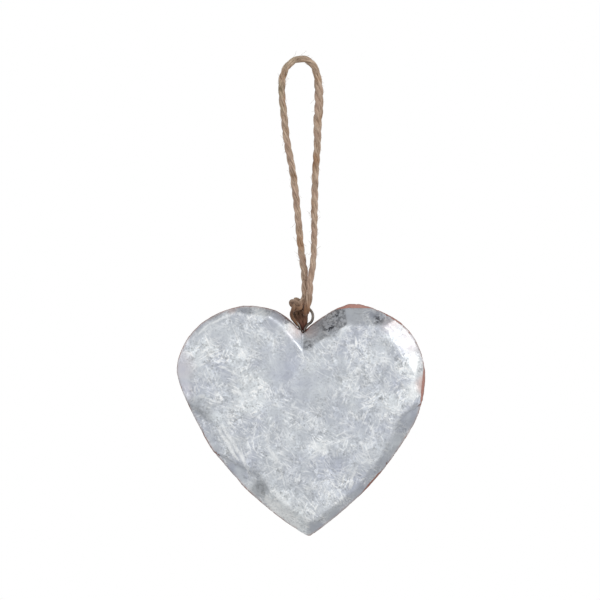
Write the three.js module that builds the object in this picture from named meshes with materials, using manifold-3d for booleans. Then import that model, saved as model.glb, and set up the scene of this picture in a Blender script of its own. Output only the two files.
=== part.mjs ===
// A heart ornament of carved terracotta, silver-leafed in front, hanging by a jute cord on a wire eye.
// Millimetres, +Z up, front at -Y. The origin is where a hook bears, under the top of the cord's loop.
import * as THREE from "three";
import { mergeVertices } from "three/addons/utils/BufferGeometryUtils.js";
import Module from "manifold-3d";

// Driving sizes of the heart. Its own origin is the bottom of the cleft, midway through its thickness.
const HEART_WIDTH = 105.6; // across both lobes
const HEART_HEIGHT = 98.6; // from the tip to the top of the lobes
const HEART_THICKNESS = 20;
const OUTLINE_STEPS = 34; // straight steps along each half of the outline
const LEAF_THICKNESS = 0.3;
const LEAF_MARGIN = 0.6; // bare clay left between the leaf's edge and the rim
const FIT_GAP = 0.3; // between two pieces that touch

// Driving sizes of the eye and its setting.
const WIRE_DIAMETER = 1.15;
const EYE_RISE = 11; // from the bottom of the cleft to the middle of the wire at the crown
const EYE_WIDTH = 8.6; // between the middles of the wire, where the teardrop is widest
const SHANK_DEPTH = 12;
const HOLE_DIAMETER = 5;
const HOLE_DEPTH = 13;
const CEMENT_SINK = 1; // from the bottom of the cleft down to the top of the cement

// Driving sizes of the cord.
const CORD_DIAMETER = 3;
const CORD_SIDES = 8;
const CROWN_X = 0.4; // the eye's crown, where the cord carries the heart
const CROWN_Z = -104.4;
const THROAT_Z = -93.5; // where the loop's two legs come together
const KNOT_WIDTH = 5.4;
const KNOT_HEIGHT = 6.2;
const KNOT_CORE_WIDTH = 4.3;
const KNOT_PLACE = [-2.6, -4.2, -103.4]; // its middle, in front of the eye and left of the crown
const WRAP_DIAMETER = 2.5; // the cord where it is pulled tight round the knot
const WRAP_OFFSET = 0.87; // of each wrap from the middle of the knot
const BIGHT_SLACK = 0.4; // between the wire and the cord that goes round it

const CORD_RADIUS = CORD_DIAMETER / 2;
const WIRE_RADIUS = WIRE_DIAMETER / 2;
const SHANK_X = WIRE_RADIUS + FIT_GAP / 2; // the two ends of the wire stand side by side
const FACE_Y = HEART_THICKNESS / 2;
const FAR = 60; // longer than any cut through the heart

// Half outlines of the heart from the cleft to the tip, as [x, z] in hundredths of its width and height.
const TIP = [2.7, -87.6];
const LEFT_OUTLINE = [
  [0, 0], [-4.4, 4.8], [-8.6, 8.4], [-14.3, 10.6], [-22.8, 11.6], [-34.8, 7.9], [-44.7, -0.2],
  [-50.6, -15.1], [-46.8, -28.8], [-40.8, -41.8], [-36.1, -50.5], [-29.7, -59.2], [-22.1, -67.9],
  [-12.8, -76.6], [-4.3, -83.3], TIP,
];
const RIGHT_OUTLINE = [
  [0, 0], [4.6, 4], [10.3, 8.2], [19.4, 12.4], [29.6, 10], [42.5, 1.5], [47.7, -9.1],
  [49.4, -20.3], [46.7, -34.3], [43.3, -42.1], [38.2, -50.9], [32.1, -59.5], [24.8, -68.1],
  [15.9, -76.8], [8.5, -83.4], TIP,
];

// Knife cuts, clockwise as seen from the front. Each meets the face along the ridge from one [x, z] to the
// other and falls away outwards at its slope in degrees. Cuts in the cleft stop at the line between the lobes,
// on their own side. The back has cuts of one slope along a closed ridge.
const FRONT_CUTS = [
  { from: [3.8, -82], to: [-11.9, -69.8], slope: 45 },
  { from: [-11.9, -69.6], to: [-16.1, -62.1], slope: 30 },
  { from: [-16.1, -62.1], to: [-24.6, -56.2], slope: 30 },
  { from: [-25, -56.4], to: [-32.3, -41.2], slope: 26, lean: 30 },
  { from: [-45.1, -27.9], to: [-45.1, -2], slope: 32 },
  { from: [-45.1, -2.2], to: [-37.9, 5.3], slope: 46 },
  { from: [-37.9, 5.3], to: [-27.9, 8.8], slope: 48 },
  { from: [-27.9, 8.8], to: [-13.7, 7], slope: 50 },
  { from: [-13.7, 7], to: [-8.3, 3], slope: 48, side: -1 },
  { from: [-8.3, 3], to: [0, -8.1], slope: 45, side: -1 },
  { from: [0, -8.1], to: [17.6, 3.2], slope: 45, side: 1 },
  { from: [17.6, 3.2], to: [34.1, 2.6], slope: 42 },
  { from: [32.9, 1.7], to: [44.5, -16.8], slope: 26 },
  { from: [44.7, -13.4], to: [45.3, -30], slope: 45 },
  { from: [44.9, -30.2], to: [38.8, -36.9], slope: 36 },
  { from: [38.8, -36.9], to: [30.7, -53.8], slope: 40 },
  { from: [30.5, -54.4], to: [21.2, -67.5], slope: 52 },
  { from: [21.2, -67.5], to: [3.6, -82], slope: 52 },
];
const BACK_RIDGE = [
  [0, -7.1], [12.8, 5.1], [29.4, 5.1], [44, -10.1], [42.1, -34.5], [21.8, -62.9],
  [2.8, -79.1], [-13.7, -68], [-38.8, -37.5], [-45.5, -13.2], [-33.1, 3.5], [-12.8, 5.9],
];
const BACK_SLOPE = 43;
const CUT_FLARE = 55; // degrees by which a cut's ends widen towards the rim

const wasm = await Module();
wasm.setup();

// A closed three.js geometry as a solid that can be joined and cut.
function solid(geometry) {
  const bare = geometry.clone();
  bare.deleteAttribute("normal");
  bare.deleteAttribute("uv");
  const merged = mergeVertices(bare, 1e-4);
  const vertProperties = new Float32Array(merged.getAttribute("position").array);
  const triVerts = new Uint32Array(merged.index.array);
  return new wasm.Manifold(new wasm.Mesh({ numProp: 3, vertProperties, triVerts }));
}

// A solid as a geometry again.
function geometryOf(shape) {
  const { vertProperties, triVerts } = shape.getMesh();
  const geometry = new THREE.BufferGeometry();
  geometry.setAttribute("position", new THREE.BufferAttribute(vertProperties, 3));
  geometry.setIndex(new THREE.BufferAttribute(triVerts, 1));
  geometry.computeVertexNormals();
  return geometry;
}

function mesh(name, geometry, colour, roughness, metalness) {
  const material = new THREE.MeshStandardMaterial({ color: colour, roughness, metalness });
  const made = new THREE.Mesh(geometry, material);
  made.name = name;
  return made;
}

// A round bar of the given diameter along a smooth line through the points.
function bar(points, diameter, steps, sides) {
  const line = new THREE.CatmullRomCurve3(points.map((p) => new THREE.Vector3(...p)));
  const corners = [];
  for (let i = 0; i < sides; i++) {
    const angle = (2 * Math.PI * i) / sides;
    corners.push(new THREE.Vector2(Math.cos(angle), Math.sin(angle)).multiplyScalar(diameter / 2));
  }
  return new THREE.ExtrudeGeometry(new THREE.Shape(corners), { steps, extrudePath: line });
}

// A point of the drawing on the heart.
function onHeart([x, z]) {
  return [(x * HEART_WIDTH) / 100, (z * HEART_HEIGHT) / 100];
}

// The heart's outline as a ring of points, anticlockwise as seen from the front.
function outline() {
  const [left, right] = [LEFT_OUTLINE, RIGHT_OUTLINE].map((half) => {
    const corners = half.map((corner) => new THREE.Vector3(...onHeart(corner), 0));
    const curve = new THREE.CatmullRomCurve3(corners, false, "centripetal");
    return curve.getSpacedPoints(OUTLINE_STEPS).map((p) => new THREE.Vector2(p.x, p.y));
  });
  return [...left, ...right.slice(1, -1).reverse()];
}

// The ring drawn in by a distance, with every corner kept sharp.
function drawnIn(ring, distance) {
  const inwardOf = (start, end) => {
    const step = end.clone().sub(start).normalize();
    return new THREE.Vector2(-step.y, step.x);
  };
  return ring.map((point, i) => {
    const before = inwardOf(ring.at(i - 1), point);
    const after = inwardOf(point, ring[(i + 1) % ring.length]);
    const mitre = before.clone().add(after).divideScalar(1 + before.dot(after));
    return point.clone().addScaledVector(mitre, distance);
  });
}

// A slab with the given ring as its edge, between two depths from front to back.
function slab(ring, frontY, backY) {
  const geometry = new THREE.ExtrudeGeometry(new THREE.Shape(ring), {
    depth: backY - frontY,
    bevelEnabled: false,
  });
  geometry.rotateX(Math.PI / 2).translate(0, backY, 0);
  return solid(geometry);
}

// The wedge that one knife cut takes off. faceSign is -1 in front and 1 at the back; sink moves the cut's
// surfaces deeper into the clay. Its ends stand square to the cut unless they lean, in degrees.
function wedge({ from, to, slope, side, lean = 90 }, faceSign, sink) {
  const [start, end] = (faceSign < 0 ? [from, to] : [to, from]).map(onHeart);
  const along = new THREE.Vector3(end[0] - start[0], 0, end[1] - start[1]);
  const length = along.length();
  along.normalize();
  const face = new THREE.Vector3(0, faceSign, 0);
  const outward = new THREE.Vector3().crossVectors(face, along);
  const tilt = THREE.MathUtils.degToRad(slope);
  const downhill = outward.clone().multiplyScalar(Math.cos(tilt)).addScaledVector(face, -Math.sin(tilt));
  const normal = outward.clone().multiplyScalar(Math.sin(tilt)).addScaledVector(face, Math.cos(tilt));
  const ridge = new THREE.Vector3(start[0], faceSign * FACE_Y, start[1]).addScaledVector(normal, -sink);
  const inner = -1.5; // the wedge starts a little inside the ridge, clear of the face
  const widening = Math.tan(THREE.MathUtils.degToRad(CUT_FLARE));
  const leaning = 1 / Math.tan(THREE.MathUtils.degToRad(lean));
  const endSink = sink * Math.hypot(1, widening, leaning);
  const corners = [];
  for (const down of [inner, FAR]) {
    for (const out of [0, FAR]) {
      const past = down * widening + out * leaning + endSink;
      for (const at of [-past, length + past]) {
        const corner = ridge.clone().addScaledVector(along, at).addScaledVector(downhill, down);
        corners.push(corner.addScaledVector(normal, out).toArray());
      }
    }
  }
  const cut = wasm.Manifold.hull(corners);
  if (!side) return cut;
  const half = new THREE.BoxGeometry(4 * FAR, 4 * FAR, 4 * FAR);
  half.translate(side * (2 * FAR - sink), 0, 0);
  return cut.intersect(solid(half));
}

// The cuts round the back, end to end along its ridge.
function backCuts() {
  return BACK_RIDGE.map((from, i) => {
    const to = BACK_RIDGE[(i + 1) % BACK_RIDGE.length];
    const side = from[0] === 0 ? 1 : to[0] === 0 ? -1 : undefined;
    return { from, to, slope: BACK_SLOPE, side };
  });
}

// The heart carved in front only, its front surfaces sunk and its edge drawn in, back to the depth backY.
function carvedFront(inset, sink, backY) {
  let shape = slab(drawnIn(outline(), inset), sink - FACE_Y, backY);
  for (const cut of FRONT_CUTS) shape = shape.subtract(wedge(cut, -1, sink));
  return shape;
}

// An upright cylinder in the middle of the thickness, between two heights above the bottom of the cleft.
function plug(x, diameter, bottom, top) {
  const geometry = new THREE.CylinderGeometry(diameter / 2, diameter / 2, top - bottom, 24);
  return solid(geometry.rotateX(Math.PI / 2).translate(x, 0, (top + bottom) / 2));
}

// Clay, with the drilled hole for the eye.
function heartBody() {
  let shape = carvedFront(0, LEAF_THICKNESS + FIT_GAP, FACE_Y);
  for (const cut of backCuts()) shape = shape.subtract(wedge(cut, 1, 0));
  return geometryOf(shape.subtract(plug(0, HOLE_DIAMETER, -HOLE_DEPTH, EYE_RISE)));
}

// The front skin of the carved heart.
function frontLeaf() {
  const backing = carvedFront(-LEAF_MARGIN, LEAF_THICKNESS, 2 * FACE_Y);
  return geometryOf(carvedFront(LEAF_MARGIN, 0, FACE_Y).subtract(backing));
}

// One wire from shank end to shank end: nearly straight down the left of the cleft and rounder on the right.
function eyeWire() {
  const half = EYE_WIDTH / 2;
  const shank = [[SHANK_X, -CEMENT_SINK], [SHANK_X, -SHANK_DEPTH / 2], [SHANK_X, -SHANK_DEPTH]];
  const bow = (sign, shares) => {
    const bent = shares.map(([x, z]) => [x * half, z * EYE_RISE]);
    return [...bent, ...shank].map(([x, z]) => [sign * x, 0, z]);
  };
  const left = bow(-1, [[0.62, 0.93], [0.96, 0.75], [0.92, 0.59], [0.64, 0.42], [0.34, 0.26], [0.19, 0.08]]);
  const right = bow(1, [[0.62, 0.93], [0.98, 0.75], [1.02, 0.56], [0.86, 0.41], [0.55, 0.31], [0.26, 0.16]]);
  return bar([...left.reverse(), [0, 0, EYE_RISE], ...right], WIRE_DIAMETER, 72, 8);
}

// Cement round the shank, in the hole with a gap.
function eyeCement() {
  const fill = plug(0, HOLE_DIAMETER - 2 * FIT_GAP, FIT_GAP - HOLE_DEPTH, -CEMENT_SINK);
  const bore = (x) => plug(x, WIRE_DIAMETER + 2 * FIT_GAP, -SHANK_DEPTH - FIT_GAP, 0);
  return geometryOf(fill.subtract(bore(-SHANK_X)).subtract(bore(SHANK_X)));
}

// The cord's free loop: up the left leg, over the hook and down the right leg.
function cordLoop() {
  const route = [
    [1.45, 1.35, THROAT_Z], [1.4, 1.3, -90], [0.85, 0.9, -86], [-0.1, 0.4, -78], [-1.6, 0.1, -64],
    [-3.6, 0, -47.8], [-6.4, 0, -32.5], [-7.9, 0, -17.6], [-8.4, 0, -9.5], [-6.9, 0, -3.2],
    [0, 0, CORD_RADIUS],
    [5.9, 0, -2.6], [7.5, 0, -9.5], [7.8, 0, -17.6], [7, 0, -33.2], [5.9, 0, -47.8],
    [5.5, -0.1, -64], [5.4, -0.3, -75], [4.8, -0.8, -84], [3.9, -1.2, -90], [3.6, -1.35, THROAT_Z],
  ];
  return bar(route, CORD_DIAMETER, 68, CORD_SIDES);
}

// The left leg below the throat, down to the knot.
function cordLead() {
  const route = [
    [1.45, 1.35, THROAT_Z - FIT_GAP], [1.4, 1.4, -96], [0.9, 0.9, -98.1],
    [-0.1, -0.7, -99.6], [-1.1, -2.3, -100.5],
  ];
  return bar(route, CORD_DIAMETER, 6, CORD_SIDES);
}

// The right leg below the throat: past the front of the crown, back through the eye, and up to the knot.
function cordHitch() {
  const turn = WIRE_RADIUS + BIGHT_SLACK + CORD_RADIUS;
  const route = [
    [3.55, -1.35, THROAT_Z - FIT_GAP], [3.45, -1.4, -96.5], [3.1, -1.8, -99.5], [2.5, -2.3, -102],
    [1.9, -turn, CROWN_Z],
    [1.6, -0.7 * turn, CROWN_Z - 0.7 * turn],
    [1.3, 0, CROWN_Z - turn],
    [0.9, 0.7 * turn, CROWN_Z - 0.7 * turn],
    [0.4, turn, CROWN_Z],
    [-0.9, 2.5, -102.2], [-2.3, 1.5, -101.8], [-2.7, -0.2, -102.3],
  ];
  return bar(route, CORD_DIAMETER, 22, CORD_SIDES);
}

// The knot: two tight wraps round a core.
function cordKnot() {
  const wrapRadius = (KNOT_WIDTH - WRAP_DIAMETER) / 2;
  const ring = () => new THREE.TorusGeometry(wrapRadius, WRAP_DIAMETER / 2, 8, 16);
  const core = new THREE.SphereGeometry(0.5, 14, 10);
  core.scale(KNOT_CORE_WIDTH, KNOT_CORE_WIDTH, KNOT_HEIGHT);
  const upper = ring().rotateX(0.5).rotateY(0.35).translate(0, 0, WRAP_OFFSET);
  const lower = ring().rotateX(-0.35).rotateY(-0.6).translate(0, 0, -WRAP_OFFSET);
  return geometryOf(solid(core).add(solid(upper)).add(solid(lower)));
}

const heart = new THREE.Group();
heart.position.set(CROWN_X, 0, CROWN_Z - EYE_RISE);
heart.add(mesh("heart_body", heartBody(), 0xa85a48, 0.85, 0));
heart.add(mesh("front_leaf", frontLeaf(), 0xc3c9d0, 0.35, 1));
heart.add(mesh("wire_eye", eyeWire(), 0x4a423e, 0.45, 0.9));
heart.add(mesh("eye_cement", eyeCement(), 0xb8ab9a, 0.95, 0));

const knot = mesh("cord_knot", cordKnot(), 0x8d735c, 0.95, 0);
knot.position.set(...KNOT_PLACE);

const ornament = new THREE.Group();
ornament.add(heart);
ornament.add(mesh("cord_loop", cordLoop(), 0xa68b74, 0.95, 0));
ornament.add(mesh("cord_lead", cordLead(), 0xa68b74, 0.95, 0));
ornament.add(mesh("cord_hitch", cordHitch(), 0xa68b74, 0.95, 0));
ornament.add(knot);

export default ornament;
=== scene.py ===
import math
import random

import bmesh
import bpy
from mathutils import Matrix, Vector, geometry, kdtree, noise


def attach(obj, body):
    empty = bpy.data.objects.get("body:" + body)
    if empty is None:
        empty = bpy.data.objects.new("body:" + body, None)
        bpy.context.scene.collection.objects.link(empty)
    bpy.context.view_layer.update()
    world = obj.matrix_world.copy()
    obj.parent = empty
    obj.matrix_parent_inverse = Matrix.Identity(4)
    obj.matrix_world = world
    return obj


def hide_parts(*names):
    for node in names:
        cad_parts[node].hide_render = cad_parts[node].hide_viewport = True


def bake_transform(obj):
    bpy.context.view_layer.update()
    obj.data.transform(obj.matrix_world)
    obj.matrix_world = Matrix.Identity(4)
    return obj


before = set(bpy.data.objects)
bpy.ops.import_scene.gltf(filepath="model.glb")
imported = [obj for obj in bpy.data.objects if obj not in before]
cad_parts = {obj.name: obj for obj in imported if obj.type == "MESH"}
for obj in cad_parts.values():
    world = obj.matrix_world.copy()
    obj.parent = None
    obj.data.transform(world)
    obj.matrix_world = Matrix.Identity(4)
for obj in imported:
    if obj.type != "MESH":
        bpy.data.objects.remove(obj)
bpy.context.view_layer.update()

# The heart: a block of terracotta clay, cut with a knife while leather-hard and then fired, so its faces
# are flat cuts with softened ridges. Its sides and back stay bare, with knife marks and small pits.
MM = 0.001
CLEFT = Vector((0.0004, 0.0, -0.1154))  # bottom of the cleft, the heart's own origin
CLAY_VOXEL = 0.55 * MM
RIDGE_SOFTENING = 3  # rounds of smoothing, each about half a voxel
WORN_SOFTENING = 18  # more rounds on the ridges that hands have worn
WORN_RIDGES = [  # x and z from the cleft and a radius, millimetres
    (40, -6, 10), (-40, 3, 9), (-48, -12, 10), (-47, -23, 9), (30, 3, 6), (-8, 3, 7), (-41.5, -35, 8),
    (-27, -56, 8),
]
LEAF_SEAT = 0.35 * MM  # the clay comes this much nearer to the leaf than the solid's fit does
WAVE_HEIGHT, WAVE_SPACING = 0.28 * MM, 17 * MM  # slow waves of the front
DENT_HEIGHT, DENT_SPACING = 0.16 * MM, 7 * MM  # small dents all over
MARK_HEIGHT, MARK_SPACING = 0.9 * MM, 9 * MM  # long knife marks across the back
MARK_DEPTH = 0.35 * MM  # of the deepest mark
PIT_DEPTH, PIT_SPACING = 0.9 * MM, 2.6 * MM
PIT_LEVEL = 0.34  # noise above this is a pit
TOOTH_HEIGHT, TOOTH_SPACING = 0.07 * MM, 1.5 * MM  # the drag of the knife on the bare clay
# the painted shade on the sides is patchy over this spacing
SIDE_SHADE_SPACING = 9 * MM


def linear(hex_colour):
    """An sRGB hex colour as linear RGBA."""
    channels = [int(hex_colour[i:i + 2], 16) / 255 for i in (1, 3, 5)]
    return [c / 12.92 if c <= 0.04045 else ((c + 0.055) / 1.055) ** 2.4 for c in channels] + [1.0]


def add(tree, kind, inputs, **settings):
    """Adds a node. An input is a value or a socket. A colour Mix takes 0, 6 and 7, and gives 2."""
    node = tree.nodes.new("ShaderNode" + kind)
    for name, value in settings.items():
        setattr(node, name, value)
    for key, value in inputs.items():
        if isinstance(value, bpy.types.NodeSocket):
            tree.links.new(value, node.inputs[key])
        else:
            node.inputs[key].default_value = value
    return node


def new_material(name):
    """An empty node material, its tree and its output."""
    material = bpy.data.materials.new(name)
    material.use_nodes = True
    material.node_tree.nodes.clear()
    return material, material.node_tree, add(material.node_tree, "OutputMaterial", {})


def new_piece(name, bm, material):
    """A smooth-shaded object at the origin from a bmesh, which is freed."""
    mesh = bpy.data.meshes.new(name)
    for face in bm.faces:
        face.smooth = True
    bm.to_mesh(mesh)
    bm.free()
    mesh.materials.append(material)
    piece = bpy.data.objects.new(name, mesh)
    bpy.context.scene.collection.objects.link(piece)
    return piece


def apply_modifiers(piece):
    """The piece's mesh as its modifiers make it."""
    evaluated = piece.evaluated_get(bpy.context.evaluated_depsgraph_get())
    made = bpy.data.meshes.new_from_object(evaluated)
    piece.modifiers.clear()
    piece.data = made


def uneven(point, spacing, seed):
    """Smooth noise from -1 to 1 at a point, with features about one spacing apart."""
    return noise.noise(point / spacing + Vector((seed, 0, 0)))


def clamped(value):
    """The value kept between 0 and 1."""
    return min(1.0, max(0.0, value))


def soften(bm, verts, rounds):
    """Rounds off the shape at these vertices."""
    for _ in range(rounds):
        bmesh.ops.smooth_vert(
            bm, verts=verts, factor=0.5, use_axis_x=True, use_axis_y=True, use_axis_z=True,
        )


terracotta, tree, output = new_material("fired_terracotta")
place = add(tree, "TexCoord", {}).outputs["Object"]
# Fired clay is matt, with a sandy grain of under a millimetre and paler dust in patches. A dark brown is
# painted on the sides as shade, strongest where the side walls turn away from the front.
firing = add(tree, "TexNoise", {"Vector": place, "Scale": 1 / (14 * MM), "Detail": 5}).outputs["Fac"]
grit = add(tree, "TexNoise", {
    "Vector": place, "Scale": 1 / (0.9 * MM), "Detail": 4, "Roughness": 0.7,
}).outputs["Fac"]
dust = add(tree, "TexNoise", {
    "Vector": place, "Scale": 1 / (4 * MM), "Detail": 6, "Roughness": 0.65,
}).outputs["Fac"]
# Painted shade: dark brown on the side walls, broken up by the dust.
side_shade_share = add(tree, "Math", {
    0: add(tree, "Attribute", {}, attribute_name="side_shade").outputs["Fac"],
    1: add(tree, "MapRange", {"Value": dust, 1: 0.3, 2: 0.6, 3: 0.45}).outputs[0],
}, operation="MULTIPLY").outputs[0]
body = add(tree, "Mix", {
    0: add(tree, "MapRange", {"Value": firing, 1: 0.3, 2: 0.7}).outputs[0],
    6: linear("#b98276"), 7: linear("#ce9f94"),
}, data_type="RGBA").outputs[2]
dusty = add(tree, "Mix", {
    0: add(tree, "MapRange", {"Value": dust, 1: 0.52, 2: 0.78, 4: 0.6}).outputs[0],
    6: body, 7: linear("#dcc2b9"),
}, data_type="RGBA").outputs[2]
sandy = add(tree, "Mix", {
    0: add(tree, "MapRange", {"Value": grit, 1: 0.35, 2: 0.75, 4: 0.35}).outputs[0],
    6: dusty, 7: linear("#8e5c54"),
}, data_type="RGBA").outputs[2]
side_shaded = add(tree, "Mix", {0: side_shade_share, 6: sandy, 7: linear("#4a302d")}, data_type="RGBA").outputs[2]
relief = add(tree, "Bump", {"Height": grit, "Strength": 0.5, "Distance": 0.12 * MM}).outputs[0]
shader = add(tree, "BsdfPrincipled", {"Base Color": side_shaded, "Roughness": 0.9, "Normal": relief})
tree.links.new(shader.outputs[0], output.inputs[0])

bm = bmesh.new()
bm.from_mesh(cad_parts["heart_body"].data)
bmesh.ops.remove_doubles(bm, verts=bm.verts, dist=0.002 * MM)
clay = new_piece("clay_heart", bm, terracotta)
remesh = clay.modifiers.new("even_faces", "REMESH")
remesh.mode = "VOXEL"
remesh.voxel_size = CLAY_VOXEL
apply_modifiers(clay)

bm = bmesh.new()
bm.from_mesh(clay.data)
soften(bm, bm.verts, RIDGE_SOFTENING)
worn_down = [
    vert for vert in bm.verts
    if any(math.hypot(vert.co.x - CLEFT.x - x * MM, vert.co.z - CLEFT.z - z * MM) < radius * MM
           for x, z, radius in WORN_RIDGES)
]
soften(bm, worn_down, WORN_SOFTENING)
bm.normal_update()
for vert in bm.verts:
    facing = max(0.0, -vert.normal.y)
    rise = LEAF_SEAT * min(1.0, 2 * facing)
    rise += WAVE_HEIGHT * uneven(vert.co, WAVE_SPACING, 3) * facing
    rise += DENT_HEIGHT * uneven(vert.co, DENT_SPACING, 9)
    vert.co += vert.normal * rise
bm.normal_update()
front_surface = bm.copy()
front_surface.verts.ensure_lookup_table()

# The painted shade round the sides, then the knife marks, pits and tooth of the bare clay.
side_shade = bm.verts.layers.float.new("side_shade")
for vert in bm.verts:
    # Painted shade, strongest where a face looks sideways.
    sideways = clamped(1.45 - 2.1 * abs(vert.normal.y))
    vert[side_shade] = sideways * clamped(0.85 + 0.5 * uneven(vert.co, SIDE_SHADE_SPACING, 51))
    bare = 1 - clamped(-1.6 * vert.normal.y)
    slanted = Vector((vert.co.x + 0.4 * vert.co.z, 0, 0.3 * vert.co.z))
    mark = abs(uneven(slanted, MARK_SPACING, 61))
    vert.co += vert.normal * max(0.0, vert.normal.y) * (MARK_HEIGHT * mark - MARK_DEPTH)
    pit = max(0.0, uneven(vert.co, PIT_SPACING, 21) - PIT_LEVEL)
    tooth = uneven(vert.co, TOOTH_SPACING, 5)
    vert.co += vert.normal * bare * (TOOTH_HEIGHT * tooth - PIT_DEPTH * pit)
bm.to_mesh(clay.data)
bm.free()
clay.data.materials.clear()
clay.data.materials.append(terracotta)
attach(clay, "heart")
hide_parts("heart_body")

# The silver leaf: thin metal leaf laid on red size over the whole carved front and burnished down by hand.
# It is finely creased where it doubled over, torn along the rim, and tarnished beside the cleft. Its colour
# also carries painted shade on some cuts, and painted highlights on creases, folds, ridges and soft patches.
LEAF_THICKNESS = 0.1 * MM
EDGE_LIFT = 0.05 * MM  # of the leaf's torn edge off the clay
SEATED_LIFT = 0.1 * MM  # the rest of the way, where the leaf is whole
RIPPLE_HEIGHT, RIPPLE_SPACING = 0.05 * MM, 3.4 * MM
CRIMP_HEIGHT, CRIMP_SPACING = 0.03 * MM, 1.6 * MM
EDGE_FACING = 0.29  # how far a face at the rim has to look forwards for the leaf to hold on it
EDGE_SOFTENING = 3  # rounds of smoothing along the torn edge
TEAR_SPACING, FRAY_SPACING = 2.4 * MM, 0.9 * MM  # large and small raggedness of that edge
TEAR_RAGGED, CHIP_RAGGED = 0.12, 0.1  # how strongly the raggedness shows there and at a chip
RIM_BAND = 0.9  # millimetres from the rim within which the leaf can tear
RIM_WEAR, RIM_WEAR_WIDTH = 0.6, 1.2  # how thin the leaf is at the rim, and over how many millimetres
RIDGE_PROUD = 0.012  # millimetres that a vertex on a ridge stands proud, where the painted ridge highlight starts to show
RIDGE_SPREAD = 2  # rounds by which that spreads to the neighbours
SIDE_FACING, SIDE_DEPTH = 0.3, 2 * MM  # what counts as the middle of the side wall
HOLE_REACH = 3 * MM  # what is nearer than this to the drilled hole's middle line is in it
CREASE_GLINTS = [  # a direction, and the length and width of a crease in millimetres
    (0.5, 3.8, 0.75), (-0.9, 3.2, 0.7), (1.9, 4.2, 0.8), (2.7, 3.2, 0.7), (1.2, 3.8, 0.8), (-0.3, 5, 1),
]
FACET = 6  # millimetres across the flats that the leaf crumpled into
SMALL_FACET = 2  # the same in the patches where it gathered
SMALL_FACET_SHARE = 0.35  # of the small flats in the speckle, beside the grain
CLEFT_FACET = Vector((-0.365, -0.707, 0.606))  # which way the cut beside the cleft looks, which is tarnished and painted darker as shade
CLEFT_FACET_MATCH, CLEFT_FACET_FADE = 0.955, 0.03  # how well a face has to look that way
CLEFT_FACET_REACH = 20  # millimetres from the cleft
CLEFT_CLEAN = 11  # millimetres from the cleft within which the tarnish and painted shade fade
CLEFT_TARNISH_AND_SHADE = 0.66
FOLD_WANDER, FOLD_WANDER_SPACING = 0.5, 4  # millimetres by which a fold strays, and over which it does
# Places are x and z from the bottom of the cleft, in millimetres. Chips have a half length and a depth from
# the rim, and the other places a radius and a strength.
RIM_CHIPS = [(22, 11.6, 7.2, 1.5), (41, 4.2, 9, 0.15), (52.2, -23, 8.5, 1.2), (29.5, -62.6, 6, 0.6)]
# Tarnish with dark specks, and painted shade: the grey darkening at these places stands in for shade.
TARNISH_AND_SHADE = [
    (-42, -31, 6, 0.5), (-48, -29, 5, 0.5), (-12.5, 5.3, 5, 0.35), (-8, 1.5, 3.5, 0.35),
    (-44, 1.5, 4, 0.25), (49, -8, 4.5, 0.45), (49, -14.5, 4.5, 0.45), (-18, -65, 5, 0.5),
    (32, 5.5, 3.5, 0.9), (24, 8, 7, 0.4), (11.7, 2, 5, 1), (14, 7.5, 4, 0.95), (2.5, -5.5, 3, 0.85),
    (-37.5, 6, 4, 0.45), (-51, -17, 10, 0.25), (-13, 11.5, 6, 0.6), (-23, 11.5, 4, 0.3),
    (11.5, -75.7, 6, 0.2), (21.9, -67.4, 6, 0.15), (30, 8, 8, 0.4), (-31, -46, 8, 0.4),
]
# Places where the creases gather more thickly, and a brighter patch is painted in as a highlight.
GATHERED_HIGHLIGHTS = [
    (-28, -10, 8, 0.8), (-22, -26, 9, 1.2), (7, -48, 5, 0.6), (33, -31, 8, 0.5), (-41, -8, 8, 0.7),
    (46, -15, 8, 1.2), (45, -24, 6, 1), (38, -30.5, 6, 0.8), (-33, -46, 7, 0.4), (-12, -74, 9, 1.5),
    (-19, 10, 7, 0.9), (-3, -80, 7, 1.5), (-5, 3.5, 4, 0.8), (8, -72, 8, 0.6), (17, -66, 7, 0.4),
    (-33, -33, 9, 0.6), (26, -8, 10, 0.3),
]
UNCREASED = [
    (-9, -15, 10, 0.55), (2, -22, 11, 0.55), (25, -40, 3.5, 0.5), (-36, 0, 5, 0.5), (-53.5, -18, 8, 0.9),
    (-37.5, -49.5, 5, 0.8), (-28, -59, 5.5, 0.8), (-15.5, -72, 5, 0.7), (-4, -81, 5, 0.6),
    (-11.5, 4.5, 6, 0.45), (-5, -2, 4, 0.4), (20.5, 8, 6, 0.85), (47.5, -36, 6, 0.9),
    (40.5, -47, 5.5, 0.8), (35.5, -55.5, 5, 0.6), (24, -68, 5, 0.8), (13.5, -77, 5, 0.8),
    (5.5, -83, 4, 0.8), (-13, 11.8, 4.5, 0.6), (-22, 12.3, 4, 0.6),
]
WORN = [
    (-3, 1, 4.5, 0.45), (3.5, 1, 4, 0.5), (-52, -14, 8, 0.25), (47, -3, 8, 0.35), (-51, -25, 6, 0.25),
    (-30, 10.5, 3, 0.8), (51.5, -22, 5, 0.9), (37, 4, 5, 0.45),
]
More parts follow.
